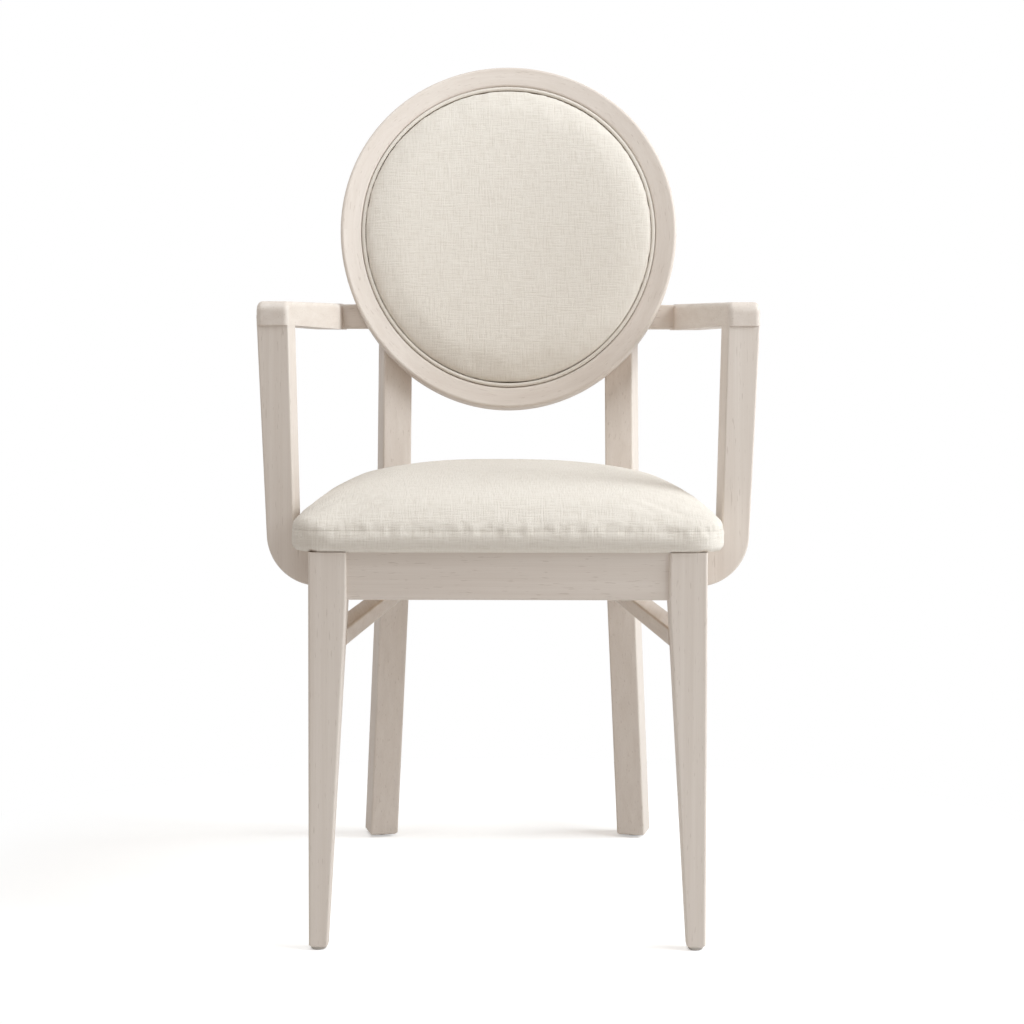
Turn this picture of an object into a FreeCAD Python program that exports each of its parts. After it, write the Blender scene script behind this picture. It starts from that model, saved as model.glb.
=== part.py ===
import FreeCAD, Part
import Sketcher
import math
import os
import re

from FreeCAD import Placement, Rotation, Vector

# Armchair with a round upholstered back, all lengths in millimetres, angles in degrees.
# X runs to the viewer's right, Y to the back, Z up. The origin is the middle of the footprint, on the floor.
# The pieces of the right-hand side are modelled and the left-hand ones mirror them.

sizes = {
    # Front legs: square at the top, their two inner faces taper down to the foot
    "front_y": -272.75,
    "leg_outer": 203.5,
    "leg_width": 39.0,
    "foot_width": 19.5,
    "taper_top": 358.0,
    "edge_round": 2.5,
    "rail_round": 2.0,
    "foot_chamfer": 2.0,
    # Foot glides, nailed on
    "glide_height": 3.0,
    "glide_radius": 8.0,
    "glide_edge": 1.0,
    "glide_nail_radius": 1.0,
    "glide_nail_length": 14.0,
    # Seat rails
    "rail_top": 409.0,
    "rail_height": 49.0,
    "rail_thick": 22.0,
    "rail_recess": 4.0,
    "side_recess": 1.5,
    "rail_turn": 7.2,
    "tenon_thick": 10.0,
    "tenon_height": 33.0,
    "tenon_length": 18.0,
    "tenon_gap": 0.1,
    "tenon_end_gap": 1.0,
    "blank_spare": 10.0,
    # Side stretchers
    "stretcher_top": 328.0,
    "stretcher_height": 18.0,
    "stretcher_width": 24.0,
    "stretcher_front_in": 12.0,
    "stretcher_rear_in": 4.5,
    "stretcher_bite": 9.5,
    "stub_thick": 10.0,
    "stub_height": 12.0,
    "stub_length": 12.0,
    # Rear posts: rear leg and back post in one, sawn from two sides with a knee at the rails
    "post_x": 139.0,
    "post_y": 451.0,
    "post_width": 34.8,
    "post_deep": 40.0,
    "post_turn": 13.3,
    "post_top": 690.0,
    "recline": 11.0,
    "rear_foot_back": 74.0,
    "rear_foot_out": 19.3,
    "knee_radius": 160.0,
    # Round back, measured in its own reclined frame, above the crown of the seat by the gap
    "back_gap": 53.2,
    "ring_width": 407.0,
    "ring_tall": 427.0,
    "ring_face": 25.0,
    "ring_thick": 27.0,
    "ring_round": 3.0,
    "back_radius": 620.0,
    "seat_gap": 0.3,
    # Back upholstery on a bent plywood board
    "board_set": 10.0,
    "board_thick": 7.0,
    "glue_gap": 0.1,
    "welt": 4.8,
    "welt_proud": 1.6,
    "welt_round": 1.8,
    "pad_crown": 19.0,
    "pad_side": 3.0,
    "rear_crown": 8.0,
    "rear_recess": 4.0,
    # Arms
    "arm_out": 62.9,
    "arm_front": 93.0,
    "arm_rear": 503.0,
    "arm_turn": 4.5,
    "arm_top": 665.0,
    "arm_width": 35.0,
    "arm_front_thick": 25.0,
    "arm_rear_thick": 32.0,
    "arm_nose": 11.0,
    "arm_round": 6.0,
    "arm_corner": 30.0,
    # Arm returns behind the ring
    "return_front": 469.0,
    "return_drop": 1.0,
    "return_thick": 30.0,
    "return_inner": 145.0,
    # J-shaped arm supports
    "support_set": 2.0,
    "support_deep": 42.0,
    "support_top_thick": 34.5,
    "support_low_thick": 27.5,
    "support_low_set": 13.0,
    "support_foot_low": 364.0,
    "support_foot_top": 407.0,
    "support_bend": 55.0,
    "support_inner_bend": 16.0,
    "support_round": 2.0,
    # Dowels of arms, supports and returns
    "dowel_radius": 5.0,
    "dowel_length": 36.0,
    "dowel_pair": 20.0,
    "arm_dowel_deep": 16.0,
    "return_dowel_deep": 18.0,
    "post_dowel_deep": 12.5,
    # Seat
    "seat_overhang": 6.0,
    "seat_rear": 455.0,
    "seat_front_half": 229.5,
    "seat_rear_half": 183.0,
    "seat_corner": 40.0,
    "seat_rear_corner": 22.0,
    "seat_lift": 0.6,
    "seat_border": 26.0,
    "seat_tall": 74.0,
    "seat_roll": 110.0,
    "seat_fullness": 0.36,
    "seat_corner_ease": 0.4,
    "seat_draw": 3.0,
    "seat_board_inset": 16.0,
    "seat_board_thick": 12.0,
    "seat_board_corner": 14.0,
    "post_clear": 3.0,
    # Corner blocks
    "block_thick": 24.0,
    "block_gap": 1.0,
    "block_height": 36.0,
    "block_drop": 3.0,
    # Wood screws
    "screw_radius": 2.2,
    "support_screw_length": 36.0,
    "support_screw_low": 14.0,
    "support_screw_high": 12.0,
    "ring_screw_length": 55.0,
    "ring_screw_aside": 5.0,
    "block_screw_length": 34.0,
    "seat_screw_length": 46.0,
    "seat_screw_aside": 13.0,
    "screw_head_radius": 4.4,
    "screw_head_height": 3.0,
    "screw_gap": 0.1,
}

doc = FreeCAD.newDocument("RoundBackArmchair")
sheet = doc.addObject("Spreadsheet::Sheet", "Sizes")
for row, (alias, number) in enumerate(sizes.items(), start=1):
    sheet.set("A%d" % row, str(number))
    sheet.setAlias("A%d" % row, alias)
doc.recompute()

nodes = []


def cells(expression):
    """The expression with every alias written as a cell of the sheet."""
    def cell(match):
        word = match.group()
        return "Sizes." + word if word in sizes else word
    return re.sub(r"[a-z_]+", cell, str(expression))


def bind(item, prop, expression):
    item.setExpression(prop, cells(expression))


# The reclined, turned and shifted frames that the pieces are modelled in
shoulder_y = "(front_y + leg_width)"
arm_outer = "(leg_outer + arm_out)"
stretcher_front_x = "(leg_outer - leg_width + stretcher_front_in)"
stretcher_middle = "(stretcher_top - stretcher_height / 2)"
stretcher_rake = "(rear_foot_back * (1 - %s / (rail_top - rail_height)))" % stretcher_middle
stretcher_run = "(post_y - leg_width - post_deep / 2 + %s)" % stretcher_rake
stretcher_turn = "atan((%s - post_x + stretcher_rear_in) / %s)" % (stretcher_front_x, stretcher_run)
back_rise = "(seat_lift + seat_tall + back_gap + ring_tall / 2 * cos(recline))"
back_height = "(rail_top + %s)" % back_rise
back_y = (
    "(front_y + post_y + %s * tan(recline) - post_deep / 2 / cos(post_turn)"
    " + (back_radius - sqrt((back_radius + ring_thick / 2)^2 - post_x^2)) / cos(recline))"
) % back_rise
frames = {
    "rail": (("leg_outer - side_recess", shoulder_y, "0"), Vector(0, 0, 1), "rail_turn"),
    "stretcher": ((stretcher_front_x, shoulder_y, "0"), Vector(0, 0, 1), stretcher_turn),
    "post": (("post_x", "front_y + post_y", "0"), Vector(0, 0, 1), "-post_turn"),
    "arm": ((arm_outer, "front_y + arm_front", "0"), Vector(0, 0, 1), "arm_turn"),
    "back": (("0", back_y, back_height), Vector(1, 0, 0), "-recline"),
}


def place(item, frame):
    """Put an object into one of the frames."""
    if frame is None:
        return
    base, axis, angle = frames[frame]
    item.Placement = Placement(Vector(), Rotation(axis, 1))
    for letter, value in zip("xyz", base):
        bind(item, "Placement.Base." + letter, value)
    bind(item, "Placement.Rotation.Angle", angle)


# Sketches and bodies
planes = {"front": ("XZ_Plane", -1), "side": ("YZ_Plane", 1), "plan": ("XY_Plane", 1)}


def startPoint(index, count):
    """A corner of a small regular polygon, where the solver starts from."""
    angle = 2 * math.pi * (index % count + 0.37) / count
    return Vector(10 * math.cos(angle), 10 * math.sin(angle), 0)


def drawSketch(body, name, view, outlines, offset="0"):
    """A sketch of closed polygons whose corners are bound to the sheet, at an offset along its view."""
    plane, side = planes[view]
    sketch = body.newObject("Sketcher::SketchObject", name)
    sketch.AttachmentSupport = [(originPlane(body, plane), "")]
    sketch.MapMode = "FlatFace"
    bind(sketch, "AttachmentOffset.Base.z", "%d * (%s)" % (side, offset))
    for corners in outlines:
        count = len(corners)
        first = sketch.GeometryCount
        for index in range(count):
            line = Part.LineSegment(startPoint(index, count), startPoint(index + 1, count))
            sketch.addGeometry(line, False)
        for index in range(count):
            following = first + (index + 1) % count
            sketch.addConstraint(Sketcher.Constraint("Coincident", first + index, 2, following, 1))
        for index, (across, up) in enumerate(corners):
            start = startPoint(index, count)
            for kind, value, guess in (("DistanceX", across, start.x), ("DistanceY", up, start.y)):
                number = sketch.addConstraint(Sketcher.Constraint(kind, first + index, 1, guess))
                bind(sketch, "Constraints[%d]" % number, value)
    return sketch


def originPlane(body, role):
    return [feature for feature in body.Origin.OriginFeatures if feature.Role == role][0]


def padBody(name, view, corners, start, length, frame=None):
    """A body with one padded polygon, from start over length along the view."""
    body = doc.addObject("PartDesign::Body", name)
    sketch = drawSketch(body, name + "_outline", view, [corners], start)
    pad = body.newObject("PartDesign::Pad", name + "_pad")
    pad.Profile = sketch
    pad.Reversed = planes[view][1] < 0
    bind(pad, "Length", length)
    place(body, frame)
    doc.recompute()
    return body


def pocketBody(body, name, view, outlines):
    """Cut closed polygons right through a body along a view, both ways from the middle plane."""
    before = body.Shape.Volume
    sketch = drawSketch(body, name + "_outline", view, outlines)
    pocket = body.newObject("PartDesign::Pocket", name)
    pocket.Profile = sketch
    pocket.Type = "ThroughAll"
    pocket.Midplane = True
    doc.recompute()
    if not body.Shape.Volume < before - 1:
        raise RuntimeError(name + " cuts nothing")


def dressBody(body, name, kind, size_name, wanted):
    """A fillet or chamfer on those edges of the body that the test picks."""
    base = body.Tip
    edges = ["Edge%d" % (number + 1) for number, edge in enumerate(base.Shape.Edges) if wanted(edge)]
    feature = body.newObject("PartDesign::" + kind, name)
    feature.Base = (base, edges)
    bind(feature, "Radius" if kind == "Fillet" else "Size", size_name)
    doc.recompute()
    if not feature.Shape.isValid():
        raise RuntimeError(name + " is not valid")
    return feature


def rectangle(low_across, high_across, low_up, high_up):
    return [(low_across, low_up), (high_across, low_up), (high_across, high_up), (low_across, high_up)]


def box(edge):
    return edge.BoundBox


# Booleans, mirrors and nodes
def boolean(kind, name, base, tools):
    """A Part cut, fuse or common of one object with one or more others."""
    for number, tool in enumerate(tools):
        last = number == len(tools) - 1
        result = doc.addObject("Part::" + kind, name if last else "%s_%d" % (name, number + 1))
        result.Base = base
        result.Tool = tool
        base = result
    doc.recompute()
    return base


def cut(name, base, *tools):
    return boolean("Cut", name, base, tools)


def fuse(name, base, *tools):
    return boolean("Fuse", name, base, tools)


def common(name, base, *tools):
    return boolean("Common", name, base, tools)


def mirror(name, source):
    twin = doc.addObject("Part::Mirroring", name)
    twin.Source = source
    twin.Normal = Vector(1, 0, 0)
    return twin


def addNode(item, label):
    item.Label = label
    nodes.append(item)


def addPair(item, label):
    """The right-hand piece and its mirrored left-hand twin."""
    addNode(item, label + "_right")
    addNode(mirror(label + "_twin", item), label + "_left")


def value(expression_name):
    return sizes[expression_name]


def solidFeature(name, shape, frame=None):
    """A feature whose shape is made with Part's own functions."""
    feature = doc.addObject("Part::Feature", name)
    feature.Shape = shape
    place(feature, frame)
    doc.recompute()
    return feature


# Seat rails and stretchers: long blanks, coped against legs and posts, with their tenons fused on
rail_low = "rail_top - rail_height"
rail_middle = "(rail_top - rail_height / 2)"
front_rail_y = "(front_y + rail_recess)"
rear_rail_y = "(front_y + post_y - rail_thick / 2)"
leg_inner = "(leg_outer - leg_width)"
side_length = "(post_y - leg_width)"


def tenonBox(name, low_x, thick, middle, high, start, length, frame, gap="0", end_gap="0"):
    """A tenon along Y, or with a gap the mortise for it."""
    corners = rectangle(
        "%s - %s" % (low_x, gap),
        "%s + %s + %s" % (low_x, thick, gap),
        "%s - %s / 2 - %s" % (middle, high, gap),
        "%s + %s / 2 + %s" % (middle, high, gap),
    )
    first = "%s - %s" % (start, end_gap)
    return padBody(name, "front", corners, first, "%s + 2 * %s" % (length, end_gap), frame)


def crossTenon(name, low_y, length, gap="0", end_gap="0"):
    """A tenon along X through both ends of a cross rail, or with a gap its mortises."""
    centre = "(%s + rail_thick / 2)" % low_y
    corners = rectangle(
        "%s - tenon_thick / 2 - %s" % (centre, gap),
        "%s + tenon_thick / 2 + %s" % (centre, gap),
        "%s - tenon_height / 2 - %s" % (rail_middle, gap),
        "%s + tenon_height / 2 + %s" % (rail_middle, gap),
    )
    half = "(%s + tenon_length + %s)" % (length, end_gap)
    return padBody(name, "side", corners, "-" + half, "2 * " + half)


def roundedOutline(corners, radii, height):
    """A closed wire of lines and arcs round a convex outline, at a height."""
    count = len(corners)
    joints = []
    for number in range(count):
        here = Vector(corners[number][0], corners[number][1], height)
        before = Vector(corners[number - 1][0], corners[number - 1][1], height)
        after = Vector(corners[(number + 1) % count][0], corners[(number + 1) % count][1], height)
        to_before = (before - here).normalize()
        to_after = (after - here).normalize()
        half_angle = to_before.getAngle(to_after) / 2
        reach = radii[number] / math.tan(half_angle)
        inward = (to_before + to_after).normalize()
        middle = here + inward * (radii[number] / math.sin(half_angle) - radii[number])
        joints.append((here + to_before * reach, middle, here + to_after * reach))
    edges = []
    for number in range(count):
        start, middle, end = joints[number]
        edges.append(Part.Arc(start, middle, end).toShape())
        edges.append(Part.makeLine(end, joints[(number + 1) % count][0]))
    return Part.Wire(edges)


def shapedBar(name, sections, frame=None):
    """An upright bar with rounded edges through level sections, each a height and its four sides."""
    wires = []
    for height, low_x, high_x, low_y, high_y in sections:
        corners = [(low_x, low_y), (high_x, low_y), (high_x, high_y), (low_x, high_y)]
        wires.append(roundedOutline(corners, [value("edge_round")] * 4, height))
    return solidFeature(name, Part.makeLoft(wires, True, True), frame)


# Front leg: square between the rails, with its inner and rear faces tapered to the foot
def frontLeg(name):
    outer = value("leg_outer")
    front = value("front_y")
    foot = value("foot_width")
    full = value("leg_width")
    bevel = value("foot_chamfer")
    sole = value("glide_height")
    foot_at_bevel = foot + (full - foot) * bevel / (value("taper_top") - sole)
    return shapedBar(name, [
        (sole, outer - foot + bevel, outer - bevel, front + bevel, front + foot - bevel),
        (sole + bevel, outer - foot_at_bevel, outer, front, front + foot_at_bevel),
        (value("taper_top"), outer - full, outer, front, front + full),
        (value("rail_top"), outer - full, outer, front, front + full),
    ])


leg = frontLeg("front_leg_blank")


# Rear post: raked back and out below the rails, upright along them and reclined above, with eased knees
def kneeShift(rise, radius, slope):
    """How far a bar has moved aside at a rise past its knee, where the bend takes the radius."""
    angle = math.atan(slope)
    along = rise + radius * math.tan(angle / 2)
    if along <= 0:
        return 0.0
    if along >= radius * math.sin(angle):
        return rise * slope
    return radius - math.sqrt(radius ** 2 - along ** 2)


def kneeRises(radius, slope, steps=4):
    """The rises of the sections that a bend takes."""
    angle = math.atan(slope)
    start = -radius * math.tan(angle / 2)
    return [start + radius * math.sin(angle * step / steps) for step in range(steps + 1)]


def rearPost(name, spare=0.0):
    """The post in its own turned frame, larger all round by a spare where it is the tool for a notch."""
    turn = math.radians(value("post_turn"))
    lean = math.tan(math.radians(value("recline")))
    low_knee = value("rail_top") - value("rail_height")
    sole = value("glide_height")
    drop = low_knee - sole
    foot_back = value("rear_foot_out") * math.sin(turn) + value("rear_foot_back") * math.cos(turn)
    foot_out = value("rear_foot_out") * math.cos(turn) - value("rear_foot_back") * math.sin(turn)
    rake = foot_back / drop
    splay = foot_out / drop
    radius = value("knee_radius")
    bevel = value("foot_chamfer")
    wide = value("post_width") / 2 + spare
    deep = value("post_deep") / 2 + spare

    def section(height, inset=0.0):
        if height < low_knee + radius * rake:
            back = kneeShift(low_knee - height, radius, rake)
            out = max(low_knee - height, 0.0) * splay
        else:
            back = kneeShift(height - value("rail_top"), radius, lean * math.cos(turn))
            out = -max(height - value("rail_top"), 0.0) * lean * math.sin(turn)
        return (height, out - wide + inset, out + wide - inset, back - deep + inset, back + deep - inset)

    low_heights = [low_knee - rise for rise in reversed(kneeRises(radius, rake))]
    high_heights = [value("rail_top") + rise for rise in kneeRises(radius, lean * math.cos(turn))]
    head = value("post_top")
    heights = [sole + bevel] + low_heights + high_heights + [head - bevel]
    sections = [section(sole, bevel)] + [section(height) for height in heights] + [section(head, bevel)]
    return shapedBar(name, sections, "post")


post = rearPost("rear_post_blank")

# Front and rear rails
front_rail_body = padBody(
    "front_rail_blank",
    "side",
    rectangle(front_rail_y, front_rail_y + " + rail_thick", rail_low, "rail_top"),
    "-" + leg_inner,
    "2 * " + leg_inner,
)
rail_low_z = value("rail_top") - value("rail_height") + 0.1
dressBody(
    front_rail_body,
    "front_rail_low_edges",
    "Fillet",
    "rail_round",
    lambda edge: box(edge).ZMax < rail_low_z and box(edge).XLength > value("leg_outer"),
)
front_rail = fuse("front_rail", front_rail_body, crossTenon("front_rail_tenon", front_rail_y, leg_inner))
front_mortise = crossTenon("front_rail_mortise", front_rail_y, leg_inner, "tenon_gap", "tenon_end_gap")
addNode(front_rail, "front_rail")

post_twin = mirror("rear_post_blank_twin", post)
rear_rail_body = padBody(
    "rear_rail_blank",
    "side",
    rectangle(rear_rail_y, rear_rail_y + " + rail_thick", rail_low, "rail_top"),
    "-post_x",
    "2 * post_x",
)
rear_inner = "(post_x - post_width / 2)"
rear_rail_coped = cut("rear_rail_coped", rear_rail_body, post, post_twin)
rear_rail = fuse("rear_rail", rear_rail_coped, crossTenon("rear_rail_tenon", rear_rail_y, rear_inner))
rear_mortise = crossTenon("rear_rail_mortise", rear_rail_y, rear_inner, "tenon_gap", "tenon_end_gap")
addNode(rear_rail, "rear_rail")

# Side rails
side_blank = padBody(
    "side_rail_blank",
    "front",
    rectangle("-rail_thick", "0", rail_low, "rail_top"),
    "-blank_spare",
    side_length + " + 2 * blank_spare",
    "rail",
)
dressBody(
    side_blank,
    "side_rail_low_edges",
    "Fillet",
    "rail_round",
    lambda edge: box(edge).ZMax < rail_low_z and box(edge).YLength > value("post_y") / 2,
)
side_tenon_x = "(-rail_thick / 2 - tenon_thick / 2)"
side_tenon_args = (side_tenon_x, "tenon_thick", rail_middle, "tenon_height")
tenon_end = "(post_y - leg_width - post_deep / 2) / cos(rail_turn)"
side_span = (" - tenon_length", "(%s + 2 * tenon_length)" % tenon_end)
side_tenon = tenonBox("side_rail_tenon", *side_tenon_args, *side_span, "rail")
side_mortise = tenonBox(
    "side_rail_mortise", *side_tenon_args, *side_span, "rail", "tenon_gap", "tenon_end_gap"
)
side_coped = cut("side_rail_coped", side_blank, leg, post)

# Side stretchers
stretcher_length = "(%s / cos(%s))" % (stretcher_run, stretcher_turn)
stretcher_blank = padBody(
    "side_stretcher_blank",
    "front",
    rectangle(
        "-stretcher_width / 2", "stretcher_width / 2", "stretcher_top - stretcher_height", "stretcher_top"
    ),
    "-blank_spare",
    stretcher_length + " + blank_spare + stretcher_bite",
    "stretcher",
)
dressBody(
    stretcher_blank,
    "side_stretcher_edges",
    "Fillet",
    "edge_round",
    lambda edge: box(edge).YLength > value("post_y") / 2,
)
stub_args = ("-stub_thick / 2", "stub_thick", stretcher_middle, "stub_height")
stub_span = (" - stub_length", "(%s + 2 * stub_length)" % stretcher_length)
stub_tenon = tenonBox("side_stretcher_tenon", *stub_args, *stub_span, "stretcher")
stub_mortise = tenonBox(
    "side_stretcher_mortise", *stub_args, *stub_span, "stretcher", "tenon_gap", "tenon_end_gap"
)
stretcher = fuse(
    "side_stretcher_whole", cut("side_stretcher_coped", stretcher_blank, leg, post), stub_tenon
)
addPair(stretcher, "side_stretcher")

# Round back: oval prisms cut to the thickness between two upright cylinders
slab_depth = "(ring_thick * 6)"
slab_height = "(ring_tall * 2)"


def ovalPrism(name, inset):
    """An oval post through the back, its outline set in from the outside of the ring."""
    across = "(ring_width / 2 - %s)" % inset
    up = "(ring_tall / 2 - %s)" % inset
    oval = doc.addObject("Part::Ellipse", name + "_oval")
    bind(oval, "MajorRadius", "max(%s; %s)" % (across, up))
    bind(oval, "MinorRadius", "min(%s; %s)" % (across, up))
    oval.Placement = Placement(Vector(), Rotation(Vector(1, 0, 0), 90))
    bind(oval, "Placement.Base.y", "-%s / 2" % slab_depth)
    prism = doc.addObject("Part::Extrusion", name)
    prism.Base = oval
    prism.DirMode = "Custom"
    prism.Dir = Vector(0, 1, 0)
    bind(prism, "LengthFwd", slab_depth)
    prism.Solid = True
    prism.Placement = Placement(Vector(), Rotation(Vector(0, 1, 0), 1))
    bind(prism, "Placement.Rotation.Angle", "ring_tall > ring_width ? 90 : 0")
    return prism


def backCylinder(name, depth):
    """The upright cylinder that a curved face of the back lies on, depth behind the front of the ring."""
    drum = doc.addObject("Part::Cylinder", name)
    bind(drum, "Radius", "back_radius - ring_thick / 2 + %s" % depth)
    bind(drum, "Height", slab_height)
    bind(drum, "Placement.Base.y", "-back_radius")
    bind(drum, "Placement.Base.z", "-%s / 2" % slab_height)
    return drum


def curvedPlate(name, inset, hole, front, rear):
    """An oval plate or ring, bent to the back's radius, between two depths."""
    outline = ovalPrism(name + "_outside", inset)
    if hole is not None:
        outline = cut(name + "_outline", outline, ovalPrism(name + "_inside", hole))
    slab = cut(name + "_slab", backCylinder(name + "_rear", rear), backCylinder(name + "_front", front))
    return common(name + "_plate", outline, slab)


def roundRims(name, plate, radius, depth):
    """Round the oval edges of a plate that lie on the face at this depth."""
    reach = value("back_radius") - value("ring_thick") / 2 + depth

    def onFace(edge):
        points = edge.discretize(5)
        return max(abs(math.hypot(p.x, p.y + value("back_radius")) - reach) for p in points) < 0.05

    chosen = [number + 1 for number, edge in enumerate(plate.Shape.Edges) if onFace(edge)]
    rounded = doc.addObject("Part::Fillet", name)
    rounded.Base = plate
    rounded.Edges = [(number, value(radius), value(radius)) for number in chosen]
    doc.recompute()
    return rounded


ring_plate = curvedPlate("back_ring", "0", "ring_face", "0", "ring_thick")
ring_front = roundRims("back_ring_front_edges", ring_plate, "ring_round", 0.0)
ring = roundRims("back_ring_whole", ring_front, "ring_round", value("ring_thick"))
place(ring, "back")

board = curvedPlate("back_board", "(ring_face + glue_gap)", None, "board_set", "(board_set + board_thick)")
place(board, "back")
addNode(board, "back_board")

welt_inset = "(ring_face + seat_gap)"
welt_hole = "(ring_face + seat_gap + welt)"
front_welt_plate = curvedPlate(
    "back_welt_front", welt_inset, welt_hole, "(-welt_proud)", "(welt - welt_proud)"
)
front_welt = roundRims("back_welt_front_edges", front_welt_plate, "welt_round", -value("welt_proud"))
place(front_welt, "back")
addNode(front_welt, "back_welt_front")
rear_welt_rear = "(ring_thick - rear_recess + welt_proud)"
rear_welt_plate = curvedPlate(
    "back_welt_rear", welt_inset, welt_hole, "(ring_thick - rear_recess + welt_proud - welt)", rear_welt_rear
)
rear_welt_depth = value("ring_thick") - value("rear_recess") + value("welt_proud")
rear_welt = roundRims("back_welt_rear_edges", rear_welt_plate, "welt_round", rear_welt_depth)
place(rear_welt, "back")
addNode(rear_welt, "back_welt_rear")


def faceDepth(across, depth):
    """How far a bent face of the back, this deep in the ring, lies behind the frame's origin."""
    radius = value("back_radius") - value("ring_thick") / 2 + depth
    return math.sqrt(radius ** 2 - across ** 2) - value("back_radius")


def backPad(name, base_depth, edge_depth, crown, slices=13, last_angle=84.0):
    """A domed pad: upright slices of three lines and one arc, lofted smoothly from side to side."""
    inset = value("ring_face") + value("welt") + 2 * value("seat_gap")
    half_across = value("ring_width") / 2 - inset
    half_up = value("ring_tall") / 2 - inset
    wires = []
    for number in range(slices):
        angle = math.radians(last_angle * (2.0 * number / (slices - 1) - 1.0))
        across = half_across * math.sin(angle)
        up = half_up * math.cos(angle)
        base = faceDepth(across, base_depth)
        edge = faceDepth(across, edge_depth)
        peak = edge + crown * math.sqrt(math.cos(angle))
        corners = [Vector(across, base, -up), Vector(across, edge, -up), Vector(across, edge, up),
                   Vector(across, base, up)]
        arc = Part.Arc(corners[1], Vector(across, peak, 0), corners[2]).toShape()
        wires.append(Part.Wire([
            Part.makeLine(corners[0], corners[1]),
            arc,
            Part.makeLine(corners[2], corners[3]),
            Part.makeLine(corners[3], corners[0]),
        ]))
    return solidFeature(name, Part.makeLoft(wires, True, False), "back")


front_base = value("board_set") - value("glue_gap")
rear_base = value("board_set") + value("board_thick") + value("glue_gap")
rear_edge = value("ring_thick") - value("rear_recess") - value("seat_gap")
pad_front = backPad("pad_front", front_base, -value("pad_side"), -value("pad_crown"))
pad_rear = backPad("pad_rear", rear_base, rear_edge, value("rear_crown"))
addNode(pad_front, "back_pad_front")
addNode(pad_rear, "back_pad_rear")

# The space that the ring takes, which posts and returns are fitted to
ring_space = backCylinder("ring_space", "ring_thick")
ring_space.Placement = Placement(Vector(), Rotation(frames["back"][1], 1))
drop = slab_height + " / 2"
for letter, rest in (
    ("x", "0"),
    ("y", back_y + " - back_radius * cos(recline) - %s * sin(recline)" % drop),
    ("z", "%s + back_radius * sin(recline) - %s * cos(recline)" % (back_height, drop)),
):
    bind(ring_space, "Placement.Base." + letter, rest)
bind(ring_space, "Placement.Rotation.Angle", "-recline")
doc.recompute()

# Arm, with a rounded outer rear corner, an underside that rises to the front and a rolled nose
arm_length = "((arm_rear - arm_front) / cos(arm_turn))"
arm = padBody(
    "arm_blank",
    "plan",
    rectangle("-arm_width", "0", "0", arm_length),
    "arm_top - arm_rear_thick",
    "arm_rear_thick",
    "arm",
)
dressBody(
    arm,
    "arm_corner",
    "Fillet",
    "arm_corner",
    lambda edge: box(edge).ZLength > value("arm_round") and box(edge).YMin > value("arm_width")
    and box(edge).XMax > -value("arm_width") / 2,
)
pocketBody(
    arm,
    "arm_underside",
    "side",
    [[
        ("-blank_spare", "arm_top - arm_front_thick"),
        ("0", "arm_top - arm_front_thick"),
        (arm_length, "arm_top - arm_rear_thick"),
        (arm_length, "arm_top - arm_rear_thick - blank_spare"),
        ("-blank_spare", "arm_top - arm_rear_thick - blank_spare"),
    ]],
)
arm_level = value("arm_top") - 0.1
dressBody(
    arm,
    "arm_nose",
    "Fillet",
    "arm_nose",
    lambda edge: box(edge).ZMin > arm_level and box(edge).YMax < 0.1,
)
dressBody(
    arm,
    "arm_top_edges",
    "Fillet",
    "arm_round",
    lambda edge: box(edge).ZMin > arm_level and box(edge).YMax > 2 * value("arm_nose"),
)

# Arm return, coped to the arm, the post and the back of the ring
return_top = "(arm_top - return_drop)"
return_blank = padBody(
    "arm_return_blank",
    "plan",
    rectangle("return_inner", arm_outer + " - arm_width", "front_y + return_front", "front_y + arm_rear"),
    return_top + " - return_thick",
    "return_thick",
)
dressBody(
    return_blank,
    "arm_return_edges",
    "Fillet",
    "edge_round",
    lambda edge: box(edge).XLength > value("arm_width"),
)
return_coped = cut("arm_return_coped", return_blank, arm, post, ring_space)

# Arm support: J-shaped profile with a wide outer bend and a small inner one
arm_under = "(arm_top - arm_front_thick)"
support_end = "-rail_thick - arm_out"
support_profile = [
    ("-support_low_set", "support_foot_low"),
    ("0", arm_under + " + blank_spare"),
    ("-support_top_thick", arm_under + " + blank_spare"),
    ("-support_low_set - support_low_thick", "support_foot_top"),
    (support_end, "support_foot_top"),
    (support_end, "support_foot_low"),
]
support_blank = padBody("arm_support_blank", "front", support_profile, "support_set", "support_deep", "arm")
outer_x = -value("support_low_set")
inner_x = outer_x - value("support_low_thick")


def isBend(edge, across, up):
    limits = box(edge)
    return limits.XLength < 0.1 and abs(limits.XMax - across) < 0.1 and abs(limits.ZMax - up) < 0.1


dressBody(
    support_blank,
    "arm_support_outer_bend",
    "Fillet",
    "support_bend",
    lambda edge: isBend(edge, outer_x, value("support_foot_low")),
)
dressBody(
    support_blank,
    "arm_support_inner_bend",
    "Fillet",
    "support_inner_bend",
    lambda edge: isBend(edge, inner_x, value("support_foot_top")),
)
support_end_x = value("arm_out") + value("rail_thick")
support_head = value("arm_top") - value("arm_front_thick") + value("blank_spare")


def isProfileEdge(edge):
    """An edge of the front or rear face, other than those of the two ends that are cut off."""
    limits = box(edge)
    at_ends = limits.ZMin > support_head - 0.1 or limits.XMax < 0.1 - support_end_x
    return limits.YLength < 0.1 and not at_ends


dressBody(support_blank, "arm_support_edges", "Fillet", "support_round", isProfileEdge)
support_coped = cut("arm_support_coped", support_blank, arm, side_blank)

# Dowels: two up from each support into the arm, one from each return into the arm, one into the post
def armPoint(across, along, up):
    """A point given in the arm's frame, in the chair's own coordinates."""
    turned = Rotation(Vector(0, 0, 1), value("arm_turn")).multVec(Vector(across, along, 0))
    base = Vector(value("leg_outer") + value("arm_out"), value("front_y") + value("arm_front"), up)
    return base + turned


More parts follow.
